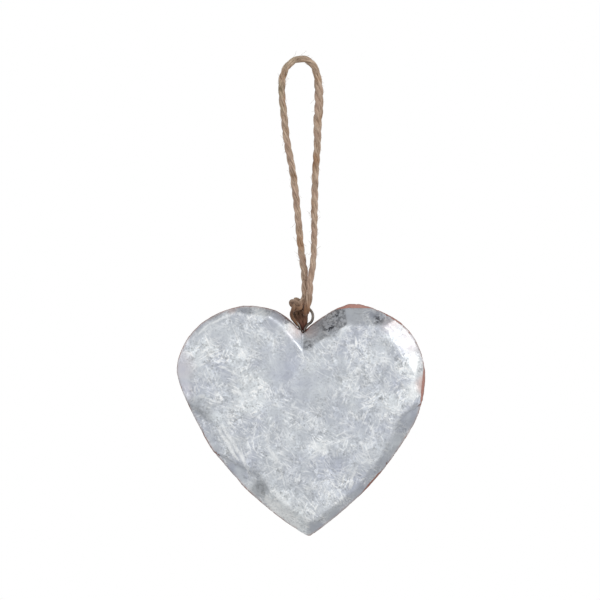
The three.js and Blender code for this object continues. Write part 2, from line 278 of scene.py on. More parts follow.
# Painted highlight streaks where the leaf lies double along ridges: two ends, a half width and a strength.
FOLD_HIGHLIGHTS = [
    (-35.8, -39.5, -27.2, -54, 1, 0.95), (-33.8, -39, -26, -52, 0.8, 0.85),
    (-27, -49.4, -23.9, -56.4, 1, 0.9), (-15.4, -47.4, -10.1, -54.3, 0.8, 0.7),
    (3.4, -46.2, 9.5, -51.1, 1.4, 0.6), (25.4, -37.6, 27.9, -38.5, 0.6, 0.7),
    (27.9, -38.5, 30.7, -44.1, 0.6, 0.6), (23.4, -45.8, 26.2, -47.4, 0.6, 0.6),
    (-26.3, -6.4, -24.2, -10.6, 1.3, 0.7), (-6, 2.5, -3.4, -1.1, 1, 0.35),
    (-28.8, -22.6, -25.3, -26.9, 1.3, 0.7), (23.3, -3.6, 29.6, -9.6, 0.5, 0.6),
    (30.3, -13.1, 28.6, -20.9, 0.5, 0.5), (19.1, -21.5, 21.5, -25.1, 0.6, 0.7),
    (22.2, -21.2, 23.6, -24.7, 0.5, 0.6), (-12.5, -66, -6, -73.5, 1.1, 0.7),
    (47, -9, 47.8, -17, 1.8, 0.8), (46.3, -21, 46.6, -28, 1.8, 0.7),
    (-15, -71, -2, -81.5, 3.6, 0.75), (-45, -1.6, -38.5, 4.4, 0.55, 0.5),
    (-38.5, 4.4, -29.5, 7.8, 0.55, 0.55),
]

silver, tree, output = new_material("burnished_silver_leaf")
place = add(tree, "TexCoord", {}).outputs["Object"]
# Leaf is soft silver, pressed down in clouds of lavender and green grey. Where it doubled over, creases of
# under a millimetre lie side by side, in a different direction in each patch; they are raised in the bump,
# and the light they catch is painted into the colour as near-white highlight lines.
cloud = add(tree, "TexNoise", {"Vector": place, "Scale": 1 / (22 * MM), "Detail": 3}).outputs["Fac"]
drift = add(tree, "TexNoise", {"Vector": place, "Scale": 1 / (8 * MM), "Detail": 5}).outputs["Fac"]
shifted = add(tree, "Mapping", {"Vector": place, "Location": (0.31, 0.17, 0.23)}).outputs[0]
cluster = add(tree, "TexNoise", {"Vector": shifted, "Scale": 1 / (5 * MM), "Detail": 3}).outputs["Fac"]
grain = add(tree, "TexNoise", {"Vector": place, "Scale": 1 / (0.8 * MM), "Detail": 4}).outputs["Fac"]
fleck = add(tree, "TexNoise", {
    "Vector": shifted, "Scale": 1 / (1.6 * MM), "Detail": 5, "Roughness": 0.65,
}).outputs["Fac"]
tarnish_and_shade_mask = add(tree, "Attribute", {}, attribute_name="tarnish_and_shade").outputs["Fac"]
gathered_highlight_mask = add(tree, "Attribute", {}, attribute_name="gathered_highlight").outputs["Fac"]
wear = add(tree, "Attribute", {}, attribute_name="worn").outputs["Fac"]
fold_highlight_mask = add(tree, "Attribute", {}, attribute_name="fold_highlight").outputs["Fac"]
bend = add(tree, "TexNoise", {"Vector": place, "Scale": 1 / (9 * MM), "Detail": 2}).outputs["Color"]
bent = add(tree, "VectorMath", {
    0: place,
    1: add(tree, "VectorMath", {0: bend, "Scale": 1.6 * MM}, operation="SCALE").outputs[0],
}).outputs[0]
crease_and_glint = None
for turn, length, width in CREASE_GLINTS:
    lie = add(tree, "Mapping", {
        "Vector": bent, "Rotation": (0, turn, 0), "Location": (0.1 * turn, 0, 0),
    }).outputs[0]
    drawn = add(tree, "Mapping", {
        "Vector": lie,
        "Scale": (1 / (length * MM), 1 / (length * MM), 1 / (width * MM)),
    }).outputs[0]
    streak = add(tree, "TexNoise", {"Vector": drawn, "Scale": 1.0, "Detail": 1}).outputs["Fac"]
    patch = add(tree, "TexNoise", {"Vector": lie, "Scale": 1 / (8 * MM), "Detail": 2}).outputs["Fac"]
    stroke = add(tree, "Math", {
        0: add(tree, "MapRange", {"Value": streak, 1: 0.5, 2: 0.68}).outputs[0],
        1: add(tree, "MapRange", {"Value": patch, 1: 0.49, 2: 0.6}).outputs[0],
    }, operation="MULTIPLY").outputs[0]
    if crease_and_glint:
        crease_and_glint = add(tree, "Math", {0: crease_and_glint, 1: stroke}, operation="MAXIMUM").outputs[0]
    else:
        crease_and_glint = stroke
facet = add(tree, "TexVoronoi", {"Vector": bent, "Scale": 1 / (FACET * MM)}).outputs["Color"]
small_facet = add(tree, "TexVoronoi", {"Vector": bent, "Scale": 1 / (SMALL_FACET * MM)}).outputs["Color"]
facet_edge = add(tree, "TexVoronoi", {
    "Vector": bent, "Scale": 1 / (FACET * MM),
}, feature="DISTANCE_TO_EDGE").outputs["Distance"]
crumple_edge_and_glint = add(tree, "Math", {
    0: add(tree, "MapRange", {"Value": facet_edge, 1: 0.05, 2: 0.0}).outputs[0],
    1: add(tree, "MapRange", {"Value": cluster, 1: 0.54, 2: 0.64, 4: 0.45}).outputs[0],
}, operation="MULTIPLY").outputs[0]
crease_and_glint = add(tree, "Math", {0: crease_and_glint, 1: crumple_edge_and_glint}, operation="MAXIMUM").outputs[0]
gathered = add(tree, "Math", {0: 0.7, 1: gathered_highlight_mask}, operation="ADD", use_clamp=True).outputs[0]
crease_and_glint = add(tree, "Math", {0: crease_and_glint, 1: gathered}, operation="MULTIPLY").outputs[0]
fold_highlight_glint = add(tree, "Math", {
    0: fold_highlight_mask, 1: add(tree, "MapRange", {"Value": grain, 1: 0.35, 2: 0.55, 3: 0.55}).outputs[0],
}, operation="MULTIPLY").outputs[0]
tone = add(tree, "Mix", {
    0: add(tree, "MapRange", {"Value": cloud, 1: 0.4, 2: 0.62}).outputs[0],
    6: linear("#bbc0cc"), 7: linear("#c1c6cd"),
}, data_type="RGBA").outputs[2]
# Painted highlight: soft brighter patches at random, stronger where the creases gather.
lit = add(tree, "Math", {
    0: add(tree, "MapRange", {"Value": drift, 1: 0.42, 2: 0.66, 4: 0.6}).outputs[0],
    1: add(tree, "Math", {
        0: add(tree, "MapRange", {"Value": gathered_highlight_mask}).outputs[0],
        1: add(tree, "MapRange", {"Value": drift, 1: 0.1, 2: 0.5}).outputs[0],
    }, operation="MULTIPLY").outputs[0],
}, operation="ADD", use_clamp=True).outputs[0]
tone = add(tree, "Mix", {0: lit, 6: tone, 7: linear("#dee3e7")}, data_type="RGBA").outputs[2]
# Painted highlight: the creases lightened to near white.
tone = add(tree, "Mix", {
    0: add(tree, "MapRange", {"Value": crease_and_glint, 4: 0.9}).outputs[0], 6: tone, 7: linear("#f6f8f9"),
}, data_type="RGBA").outputs[2]
crumple = add(tree, "Math", {
    0: small_facet, 1: SMALL_FACET_SHARE,
    2: add(tree, "Math", {0: grain, 1: 0.5 + SMALL_FACET_SHARE / 2}, operation="SUBTRACT").outputs[0],
}, operation="MULTIPLY_ADD").outputs[0]
speckle = add(tree, "Math", {
    0: crumple,
    1: add(tree, "Math", {
        0: gathered,
        1: add(tree, "MapRange", {"Value": cluster, 1: 0.42, 2: 0.6, 3: 0.35, 4: 1.5}).outputs[0],
    }, operation="MULTIPLY").outputs[0],
    2: add(tree, "MapRange", {"Value": facet, 3: 0.94, 4: 1.06}).outputs[0],
}, operation="MULTIPLY_ADD").outputs[0]
tone = add(tree, "Mix", {0: 1.0, 6: tone, 7: speckle}, data_type="RGBA", blend_type="MULTIPLY").outputs[2]
pit = add(tree, "MapRange", {"Value": grain, 1: 0.37, 2: 0.27, 4: 0.45}).outputs[0]
tone = add(tree, "Mix", {0: pit, 6: tone, 7: linear("#8b9097")}, data_type="RGBA").outputs[2]
# Painted highlight along the convex ridges, patchy.
painted_ridge_glint = add(tree, "Math", {
    0: add(tree, "Attribute", {}, attribute_name="ridge_highlight").outputs["Fac"],
    1: add(tree, "MapRange", {"Value": cluster, 1: 0.42, 2: 0.65, 4: 0.25}).outputs[0],
}, operation="MULTIPLY").outputs[0]
tone = add(tree, "Mix", {0: painted_ridge_glint, 6: tone, 7: linear("#eef1f3")}, data_type="RGBA").outputs[2]
thin = add(tree, "Math", {
    0: wear, 1: add(tree, "MapRange", {"Value": drift, 1: 0.3, 2: 0.6, 3: 0.35}).outputs[0],
}, operation="MULTIPLY").outputs[0]
tone = add(tree, "Mix", {0: thin, 6: tone, 7: linear("#d6bdb6")}, data_type="RGBA").outputs[2]
# Painted shade: grey darkening where the leaf is tarnished or a cut is to look shaded. The dark specks next
# are tarnish.
dulled_and_shaded = add(tree, "MapRange", {"Value": tarnish_and_shade_mask, 2: 0.45, 4: 0.35}).outputs[0]
tone = add(tree, "Mix", {0: dulled_and_shaded, 6: tone, 7: linear("#9da0a4")}, data_type="RGBA").outputs[2]
spots = add(tree, "Math", {
    0: add(tree, "MapRange", {"Value": fleck, 1: 0.47, 2: 0.57}).outputs[0],
    1: add(tree, "MapRange", {"Value": tarnish_and_shade_mask, 1: 0.3, 2: 1.0}).outputs[0],
}, operation="MULTIPLY").outputs[0]
tone = add(tree, "Mix", {0: spots, 6: tone, 7: linear("#434449")}, data_type="RGBA").outputs[2]
# Painted highlight: near-white streaks along the folds.
tone = add(tree, "Mix", {
    0: add(tree, "MapRange", {"Value": fold_highlight_glint, 4: 0.92}).outputs[0], 6: tone, 7: linear("#fafcfd"),
}, data_type="RGBA").outputs[2]
rough = add(tree, "MapRange", {"Value": drift, 1: 0.3, 2: 0.7, 3: 0.4, 4: 0.54}).outputs[0]
height = add(tree, "Math", {
    0: crease_and_glint, 1: add(tree, "MapRange", {"Value": grain, 4: 0.6}).outputs[0],
}, operation="ADD").outputs[0]
wavy = add(tree, "Bump", {"Height": drift, "Strength": 0.5, "Distance": 0.8 * MM}).outputs[0]
relief = add(tree, "Bump", {
    "Height": height, "Strength": 0.5, "Distance": 0.08 * MM, "Normal": wavy,
}).outputs[0]
shader = add(tree, "BsdfPrincipled", {
    "Base Color": tone, "Metallic": 1.0, "Roughness": rough, "Normal": relief,
})
tree.links.new(shader.outputs[0], output.inputs[0])

bm = front_surface


def in_hole(place):
    """Whether a place is in the drilled hole of the eye."""
    below = place.z < CLEFT.z - 0.5 * MM
    return below and abs(place.x - CLEFT.x) < HOLE_REACH and abs(place.y) < HOLE_REACH


# The rim is where the side wall stands, seen from the front.
side_wall = [
    vert for vert in bm.verts
    if abs(vert.normal.y) < SIDE_FACING and abs(vert.co.y) < SIDE_DEPTH and not in_hole(vert.co)
]
rim = kdtree.KDTree(len(side_wall))
for i, vert in enumerate(side_wall):
    rim.insert((vert.co.x, 0, vert.co.z), i)
rim.balance()


def convexity(vert):
    """How far a vertex stands proud of its neighbours, in millimetres."""
    ring = [edge.other_vert(vert).co for edge in vert.link_edges]
    return (vert.co - sum(ring, Vector()) / len(ring)).dot(vert.normal) / MM


def strongest(places, local):
    """The greatest strength among soft round places at a point."""
    found = 0.0
    for x, z, radius, strength in places:
        away = math.hypot(local.x - x, local.z - z) / radius
        found = max(found, strength * max(0.0, 1 - away * away))
    return found


def fold_highlight_at(local):
    """How strongly the painted fold highlight shows at a point. A fold's streak is widest in its middle and
    a little crooked.
    """
    found = 0.0
    astray = [FOLD_WANDER * uneven(local, FOLD_WANDER_SPACING, seed) for seed in (71, 73)]
    point = Vector((local.x + astray[0], local.z + astray[1]))
    for x1, z1, x2, z2, half_width, strength in FOLD_HIGHLIGHTS:
        start, end = Vector((x1, z1)), Vector((x2, z2))
        share = clamped(geometry.intersect_point_line(point, start, end)[1])
        width = half_width * (0.4 + 0.8 * math.sin(math.pi * share))
        away = (point - start.lerp(end, share)).length / width
        found = max(found, strength * clamped(1.7 * (1 - away)))
    return found


ridge_highlight = bm.verts.layers.float.new("ridge_highlight")
fold_highlight = bm.verts.layers.float.new("fold_highlight")
tarnish_and_shade = bm.verts.layers.float.new("tarnish_and_shade")
gathered_highlight = bm.verts.layers.float.new("gathered_highlight")
worn = bm.verts.layers.float.new("worn")
for vert in bm.verts:
    # How far each vertex stands proud, for the painted ridge highlight.
    vert[ridge_highlight] = convexity(vert)
for _ in range(RIDGE_SPREAD):
    spread = {}
    for vert in bm.verts:
        ring = [edge.other_vert(vert)[ridge_highlight] for edge in vert.link_edges]
        spread[vert] = 0.4 * vert[ridge_highlight] + 0.6 * sum(ring) / len(ring)
    for vert in bm.verts:
        vert[ridge_highlight] = spread[vert]
cover = {}
for vert in bm.verts:
    local = (vert.co - CLEFT) / MM
    smooth = strongest(UNCREASED, local)
    vert[ridge_highlight] = clamped((vert[ridge_highlight] - RIDGE_PROUD) / RIDGE_PROUD) * (1 - smooth)
    from_rim = rim.find((vert.co.x, 0, vert.co.z))[2] / MM
    ragged = uneven(vert.co, TEAR_SPACING, 31) + 0.5 * uneven(vert.co, FRAY_SPACING, 37)
    hold = -1.0 if vert.co.y > 0 else 1.0
    if from_rim < RIM_BAND:
        hold = min(hold, -vert.normal.y - EDGE_FACING + TEAR_RAGGED * ragged)
    for x, z, half_length, depth in RIM_CHIPS:
        along = math.hypot(local.x - x, local.z - z) / half_length
        if along < 1:
            hold = min(hold, 0.5 * (from_rim - depth * (1 - along * along)) + CHIP_RAGGED * ragged)
    cover[vert] = hold
    in_facet = 0.0
    # The cut beside the cleft gets tarnish and painted shade, picked out by which way its faces look.
    if 0 < local.x < CLEFT_FACET_REACH:
        in_facet = clamped((vert.normal.dot(CLEFT_FACET) - CLEFT_FACET_MATCH) / CLEFT_FACET_FADE)
        in_facet *= min(1.0, max(0.3, local.x / CLEFT_CLEAN))
    vert[tarnish_and_shade] = max(CLEFT_TARNISH_AND_SHADE * in_facet, strongest(TARNISH_AND_SHADE, local))
    vert[gathered_highlight] = strongest(GATHERED_HIGHLIGHTS, local) - smooth
    vert[fold_highlight] = fold_highlight_at(local)
    vert[worn] = max(strongest(WORN, local), RIM_WEAR * max(0.0, 1 - from_rim / RIM_WEAR_WIDTH))
torn = [face for face in bm.faces if any(cover[vert] <= 0 for vert in face.verts)]
for vert in bm.verts:
    seated = clamped(5 * cover[vert])
    ripple = 1 - abs(uneven(vert.co, RIPPLE_SPACING, 41))
    crimp = 1 - abs(uneven(vert.co, CRIMP_SPACING, 43))
    lift = SEATED_LIFT + RIPPLE_HEIGHT * ripple ** 5 + CRIMP_HEIGHT * crimp ** 4
    vert.co += vert.normal * (EDGE_LIFT + seated * lift)
bmesh.ops.delete(bm, geom=torn, context="FACES")
soften(bm, [vert for vert in bm.verts if vert.is_boundary], EDGE_SOFTENING)
leaf = new_piece("silver_leaf", bm, silver)
thick = leaf.modifiers.new("leaf_thickness", "SOLIDIFY")
thick.thickness = LEAF_THICKNESS
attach(leaf, "heart")
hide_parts("front_leaf")

# The eye: one length of dark annealed steel wire, bent into a teardrop, with both ends down in the drilled
# hole. Its surface is brown and grey from the annealing, with spots of rust.
WIRE_RADIUS = 0.575 * MM
WIRE_STEP = 0.2 * MM
WIRE_UV = 5 * MM  # length of wire to one unit of its UV
ROUND_SIDES = 16  # of a swept wire or ply
EYE_ROUTE = [  # x and z from the bottom of the cleft, from one shank's foot over the crown to the other's
    (-0.725, -12), (-0.725, -6), (-0.725, -1), (-0.82, 0.88), (-1.46, 2.86), (-2.75, 4.62), (-3.96, 6.49),
    (-4.13, 8.25), (-2.67, 10.23), (0, 11), (2.67, 10.23), (4.21, 8.25), (4.39, 6.16), (3.7, 4.51),
    (2.37, 3.41), (1.12, 1.76), (0.725, -1), (0.725, -6), (0.725, -12),
]


def smooth_line(corners, spacing):
    """Evenly spaced points on the smooth line through the corners."""
    corners = [Vector(corner) for corner in corners]
    padded = [2 * corners[0] - corners[1], *corners, 2 * corners[-1] - corners[-2]]
    dense = []
    for a, b, c, d in zip(padded, padded[1:], padded[2:], padded[3:]):
        before, here, after = [math.sqrt((q - p).length) for p, q in ((a, b), (b, c), (c, d))]
        leave = ((b - a) / before - (c - a) / (before + here) + (c - b) / here) * here
        arrive = ((c - b) / here - (d - b) / (here + after) + (d - c) / after) * here
        dense += geometry.interpolate_bezier(b, b + leave / 3, c - arrive / 3, c, 60)[:-1]
    dense.append(corners[-1])
    reached = [0.0]
    for p, q in zip(dense, dense[1:]):
        reached.append(reached[-1] + (q - p).length)
    count = round(reached[-1] / spacing)
    points, at = [], 0
    for i in range(count + 1):
        goal = reached[-1] * i / count
        while at < len(dense) - 2 and reached[at + 1] < goal:
            at += 1
        share = (goal - reached[at]) / (reached[at + 1] - reached[at])
        points.append(dense[at].lerp(dense[at + 1], share))
    return points


def carried_frames(points):
    """Two crosswise directions at each point, carried along the line without twisting."""
    last = len(points) - 1
    steps = [(points[min(i + 1, last)] - points[max(i - 1, 0)]).normalized() for i in range(last + 1)]
    across = steps[0].orthogonal().normalized()
    frames = []
    for step in steps:
        across = (across - step * across.dot(step)).normalized()
        frames.append((across, step.cross(across)))
    return frames


def sweep(bm, points, frames, sides, radius_at, uv_length):
    """A tube along the points, closed at both ends. Its UV runs along it in uv_lengths, and around it."""
    last = len(points) - 1
    made = bmesh.ops.create_grid(bm, x_segments=last, y_segments=sides, size=1, calc_uvs=True)
    uv = bm.loops.layers.uv.verify()
    length = sum((q - p).length for p, q in zip(points, points[1:]))
    faces = {face for vert in made["verts"] for face in vert.link_faces}
    for face in faces:
        for loop in face.loops:
            i = round((loop.vert.co.x + 1) / 2 * last)
            j = round((loop.vert.co.y + 1) / 2 * sides)
            loop[uv].uv = (i / last * length / uv_length, j / sides)
    for vert in made["verts"]:
        i = round((vert.co.x + 1) / 2 * last)
        around = (vert.co.y + 1) * math.pi
        across, other = frames[i]
        radius = 0.0 if i in (0, last) else radius_at(i, around)
        vert.co = points[i] + (across * math.cos(around) + other * math.sin(around)) * radius
    bmesh.ops.remove_doubles(bm, verts=made["verts"], dist=1e-7)


steel, tree, output = new_material("annealed_steel_wire")
place = add(tree, "TexCoord", {}).outputs["Object"]
# Annealed wire has a thin brown-black scale, smooth and half glossy, with rust in spots of a millimetre.
scale_tone = add(tree, "TexNoise", {"Vector": place, "Scale": 1 / (1.6 * MM), "Detail": 5}).outputs["Fac"]
rust = add(tree, "TexNoise", {
    "Vector": place, "Scale": 1 / (0.9 * MM), "Detail": 6, "Roughness": 0.7,
}).outputs["Fac"]
scaled = add(tree, "Mix", {
    0: add(tree, "MapRange", {"Value": scale_tone, 1: 0.35, 2: 0.7}).outputs[0],
    6: linear("#665e58"), 7: linear("#9a9189"),
}, data_type="RGBA").outputs[2]
rusty = add(tree, "Mix", {
    0: add(tree, "MapRange", {"Value": rust, 1: 0.55, 2: 0.72, 4: 0.7}).outputs[0],
    6: scaled, 7: linear("#5e3a2a"),
}, data_type="RGBA").outputs[2]
relief = add(tree, "Bump", {"Height": rust, "Strength": 0.3, "Distance": 0.05 * MM}).outputs[0]
shader = add(tree, "BsdfPrincipled", {
    "Base Color": rusty, "Metallic": 0.85, "Normal": relief,
    "Roughness": add(tree, "MapRange", {"Value": rust, 1: 0.3, 2: 0.7, 3: 0.32, 4: 0.62}).outputs[0],
})
tree.links.new(shader.outputs[0], output.inputs[0])

eye_line = smooth_line([CLEFT + Vector((x, 0, z)) * MM for x, z in EYE_ROUTE], WIRE_STEP)
bm = bmesh.new()
sweep(bm, eye_line, carried_frames(eye_line), ROUND_SIDES, lambda i, around: WIRE_RADIUS, WIRE_UV)
bmesh.ops.recalc_face_normals(bm, faces=bm.faces)
eye = new_piece("eye_wire", bm, steel)
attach(eye, "heart")
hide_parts("wire_eye")

# The cement that sets the eye: a stiff grey-pink mix of clay dust and glue, pushed into the drilled hole
# round both ends of the wire. Its solid stays, with a material of its own.
mortar, tree, output = new_material("clay_cement")
place = add(tree, "TexCoord", {}).outputs["Object"]
# Dried cement is dull and crumbly, with pale dust on its grains.
crumb = add(tree, "TexNoise", {
    "Vector": place, "Scale": 1 / (0.7 * MM), "Detail": 6, "Roughness": 0.7,
}).outputs["Fac"]
grey = add(tree, "Mix", {0: crumb, 6: linear("#8d7266"), 7: linear("#c4aa9c")}, data_type="RGBA").outputs[2]
relief = add(tree, "Bump", {"Height": crumb, "Strength": 0.7, "Distance": 0.2 * MM}).outputs[0]
shader = add(tree, "BsdfPrincipled", {"Base Color": grey, "Roughness": 0.95, "Normal": relief})
tree.links.new(shader.outputs[0], output.inputs[0])
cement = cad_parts["eye_cement"]
cement.data.materials.clear()
cement.data.materials.append(mortar)

# The cord: jute twine of three plies, folded into a loop. One leg runs down in front of the eye, under its
# crown and up behind it, and is knotted to the other leg beside the eye.
PLIES = 3
LAY_LENGTH = 15 * MM  # one full turn of a ply
PLY_RADIUS = 0.88 * MM
PLY_OFFSET = 0.64 * MM  # of a ply's middle from the cord's
RING_STEP = 0.35 * MM
TWINE_UV = 10 * MM  # length of twine to one unit of its UV
STRANDS, STRAND_TURN = 5, 7 * MM  # in a ply, and the length of one turn of them
LUMP_SPACING, FUZZ_SPACING = 4 * MM, 1.2 * MM  # unevenness along a ply
STRAND_RELIEF, LUMP_RELIEF, FUZZ_RELIEF = 0.07, 0.08, 0.08  # shares of a ply's radius
THROAT_LAP = 4  # steps by which the lower stretches run on inside the loop
DRAWN_IN = 0.95  # thickness of those stretches beside the loop's
# Routes are in millimetres. The loop's goes up the left leg, over the hook and down the right leg.
LOOP_ROUTE = [
    (1.45, 1.35, -93.5), (1.25, 1.3, -90), (0.7, 0.9, -86), (-0.4, 0.4, -78), (-1.7, 0.1, -64),
    (-3.6, 0, -47.8), (-6.4, 0, -32.5), (-7.5, 0, -22.5), (-8.3, 0, -15), (-8.4, 0, -9), (-7.6, 0, -4.6),
    (-5.1, 0, -0.6), (-0.6, 0, 1.5), (4, 0, -0.1), (6.2, 0, -3.9), (7.1, 0, -8.5), (7.4, 0, -13),
    (7.45, 0, -18.5), (6.8, 0, -27), (6.8, 0, -34), (5.9, 0, -47.8), (5.5, -0.1, -64), (5.4, -0.3, -75),
    (5.05, -0.8, -84), (4.4, -1.2, -89.4), (3.6, -1.35, -93.5),
]
# The lead runs from the left leg down into the knot.
LEAD_ROUTE = [
    (1.4, 1.4, -96), (1.4, 1.1, -98.5), (1.2, 0.6, -100.8), (0.3, -0.7, -102.5), (-1.4, -2.7, -103.2),
]
# The hitch runs from the right leg in front of the eye, under its crown and up behind into the knot.
HITCH_ROUTE = [
    (3.55, -1.4, -96.5), (3.35, -1.8, -99.5), (2.95, -2.5, -102), (2.4, -2.7, -104.4), (2, -1.85, -106.3),
    (1.5, 0, -107), (0.9, 1.73, -106.13), (0.4, 2.475, -104.4), (-0.9, 2.5, -102.2), (-2.3, 1.5, -101.8),
    (-2.7, -0.2, -102.3),
]
# Where the twine is loose, full or thin: a place and a half length in millimetres, and by what share the
# plies part and swell there.
UNEVEN_PLACES = [
    ((-8.2, 0, -5.5), 4, 0.35, -0.12), ((7.45, 0, -19), 12, 0.36, 0.28), ((5.2, 0, -79), 12, -0.12, -0.14),
]

jute, tree, output = new_material("jute_twine")
along = add(tree, "UVMap", {}).outputs[0]
place = add(tree, "TexCoord", {}).outputs["Object"]
# Jute is dull tan bast fibre: long pale and dark fibres side by side along each ply, browner in patches and
# faded to green or pink in others. It is rusted where it bears on the wire, and dark at the knot.
fibres = add(tree, "TexNoise", {
    "Vector": add(tree, "Mapping", {"Vector": along, "Scale": (1.8, 9, 1)}).outputs[0],
    "Scale": 1.0, "Detail": 5, "Roughness": 0.65, "Distortion": 0.4,
}).outputs["Fac"]
patch = add(tree, "TexNoise", {"Vector": place, "Scale": 1 / (9 * MM), "Detail": 3}).outputs["Fac"]
fibre_tone = add(tree, "Mix", {
    0: add(tree, "MapRange", {"Value": fibres, 1: 0.32, 2: 0.68}).outputs[0],
    6: linear("#765e49"), 7: linear("#f1d8c0"),
}, data_type="RGBA").outputs[2]
spot = add(tree, "SeparateXYZ", {0: place})
faded = add(tree, "Mix", {
    0: add(tree, "Math", {
        0: add(tree, "MapRange", {"Value": spot.outputs["X"], 1: -4 * MM, 2: 4 * MM}).outputs[0],
        1: add(tree, "MapRange", {"Value": spot.outputs["Z"], 1: -20 * MM, 2: -28 * MM}).outputs[0],
    }, operation="MAXIMUM").outputs[0],
    6: linear("#b5a986"), 7: linear("#bd9887"),
}, data_type="RGBA").outputs[2]
patched = add(tree, "Mix", {
    0: add(tree, "MapRange", {"Value": patch, 1: 0.5, 2: 0.68, 4: 0.6}).outputs[0],
    6: fibre_tone, 7: linear("#a5764f"),
}, data_type="RGBA").outputs[2]
patched = add(tree, "Mix", {
    0: add(tree, "MapRange", {"Value": patch, 1: 0.54, 2: 0.36, 4: 0.45}).outputs[0],
    6: patched, 7: faded,
}, data_type="RGBA").outputs[2]
rust = add(tree, "MapRange", {
    "Value": spot.outputs["Z"], 1: -100.5 * MM, 2: -105.5 * MM, 4: 0.75,
}).outputs[0]
rusted = add(tree, "Mix", {0: rust, 6: patched, 7: linear("#93633d")}, data_type="RGBA").outputs[2]
# Darker low on the left side of the twine, towards the knot.
knot_darkening = add(tree, "Math", {
    0: add(tree, "MapRange", {"Value": spot.outputs["X"], 1: 0.2 * MM, 2: -1.2 * MM, 4: 0.3}).outputs[0],
    1: add(tree, "MapRange", {"Value": spot.outputs["Z"], 1: -98.5 * MM, 2: -101 * MM}).outputs[0],
}, operation="MULTIPLY").outputs[0]
darkened_at_knot = add(tree, "Mix", {0: knot_darkening, 6: rusted, 7: linear("#4f4234")}, data_type="RGBA").outputs[2]
relief = add(tree, "Bump", {"Height": fibres, "Strength": 0.7, "Distance": 0.12 * MM}).outputs[0]
shader = add(tree, "BsdfPrincipled", {
    "Base Color": darkened_at_knot, "Roughness": 0.92, "Normal": relief, "Sheen Weight": 0.25,
})
tree.links.new(shader.outputs[0], output.inputs[0])


def in_metres(route):
    """The points of a route given in millimetres."""
    return [Vector(point) * MM for point in route]


def ply_lines(points, frames, offset_at):
    """The middle line of each ply laid up along the points."""
    lines = []
    for ply in range(PLIES):
        line = []
        for i, point in enumerate(points):
            turn = 2 * math.pi * (ply / PLIES - i * RING_STEP / LAY_LENGTH)
            across, other = frames[i]
            line.append(point + (across * math.cos(turn) + other * math.sin(turn)) * offset_at(i))
        lines.append(line)
    return lines


def lay_plies(name, lines, first, last, swell_at):
    """A piece of the twine between two of its steps."""
    bm = bmesh.new()
    for ply, line in enumerate(lines):
        stretch = line[first:last + 1]

        def radius_at(i, around):
            step = first + i
            reached = step * RING_STEP
            strand = math.cos(STRANDS * around - 2 * math.pi * reached / STRAND_TURN + ply)
            lump = noise.noise(Vector((reached / LUMP_SPACING, 7.0 * ply, 0)))
            side = (2 * math.cos(around), 2 * math.sin(around) + 9 * ply)
            fuzz = noise.noise(Vector((reached / FUZZ_SPACING, *side)))
            relief = 1 + STRAND_RELIEF * strand + LUMP_RELIEF * lump + FUZZ_RELIEF * fuzz
            return PLY_RADIUS * swell_at(step) * relief

        sweep(bm, stretch, carried_frames(stretch), ROUND_SIDES, radius_at, TWINE_UV)
    bmesh.ops.recalc_face_normals(bm, faces=bm.faces)
    return new_piece(name, bm, jute)


whole_route = in_metres([*reversed(LEAD_ROUTE), *LOOP_ROUTE, *HITCH_ROUTE])
cord_line = smooth_line(whole_route, RING_STEP)


def nearest_step(point):
    """The step of the cord's line that lies nearest to a point."""
    return min(range(len(cord_line)), key=lambda i: (cord_line[i] - point).length)


def hump(step, middle, half_length):
    """1 at the middle, falling to about a third at the half length."""
    return math.exp(-(((step - middle) * RING_STEP / half_length) ** 2))


left_throat = nearest_step(whole_route[len(LEAD_ROUTE)])
right_throat = nearest_step(whole_route[len(LEAD_ROUTE) + len(LOOP_ROUTE) - 1])
humps = [(nearest_step(Vector(at) * MM), half * MM, part, grow) for at, half, part, grow in UNEVEN_PLACES]


def parting(step):
    """How far the middles of the plies lie from the cord's at a step."""
    return PLY_OFFSET * (1 + sum(part * hump(step, middle, half) for middle, half, part, _ in humps))


def swell(step):
    """The twine's fullness at a step."""
    return 1 + sum(grow * hump(step, middle, half) for middle, half, _, grow in humps)


def drawn_in(step):
    """The same for the stretches below the throat, whose upper ends run on inside the loop's."""
    return DRAWN_IN * swell(step)


plies = ply_lines(cord_line, carried_frames(cord_line), parting)
loop = lay_plies("jute_loop", plies, left_throat, right_throat, swell)
lead = lay_plies("jute_lead", plies, 0, left_throat + THROAT_LAP, drawn_in)
hitch = lay_plies("jute_hitch", plies, right_throat - THROAT_LAP, len(cord_line) - 1, drawn_in)

# The knot: an overhand knot pulled tight beside the eye, with a core of its own crossings. The ends of the
# twine, opened into strands, hang on down: three in the eye's opening, painted darker as shade and redder at
# the bottom as a painted reflection of the clay, and one outside.
KNOT_PLACE = Vector((-2.6, -4.2, -103.85)) * MM
KNOT_REACH = Vector((1.85, 0.95, 2)) * MM  # of the twine's middle line from the knot's middle
KNOT_SHRINK = 0.62  # the twine is pulled thinner in the knot
KNOT_TURN = Matrix.Rotation(0.5, 3, "Y") @ Matrix.Rotation(0.35, 3, "Z")
KNOT_CORNERS = 48
TREFOIL_REACH = 2.6  # the plain trefoil curve, which goes out to 3, is divided by this
ENDS = [
    [(-0.2, 1.9, -105.2), (-0.6, 2.1, -107.5), (-0.5, 1.7, -110), (0, 1.3, -112.3), (0.4, 1.1, -114.8)],
    [(1.4, 2, -105.5), (1.6, 2.1, -107.8), (1.5, 1.8, -110.2), (1.1, 1.4, -112.4), (0.7, 1.2, -114.8)],
    [(-2, 1.2, -105.2), (-2.5, 1.7, -107.2), (-2.1, 1.7, -109.4), (-1.2, 1.5, -111.6), (-0.1, 1.4, -114)],
    [
        (-3.3, -1.9, -105), (-4.2, -1.6, -107), (-3.95, -1.6, -108.9), (-2.8, -1.5, -110.8),
        (-1.4, -1.4, -112.8),
    ],
]
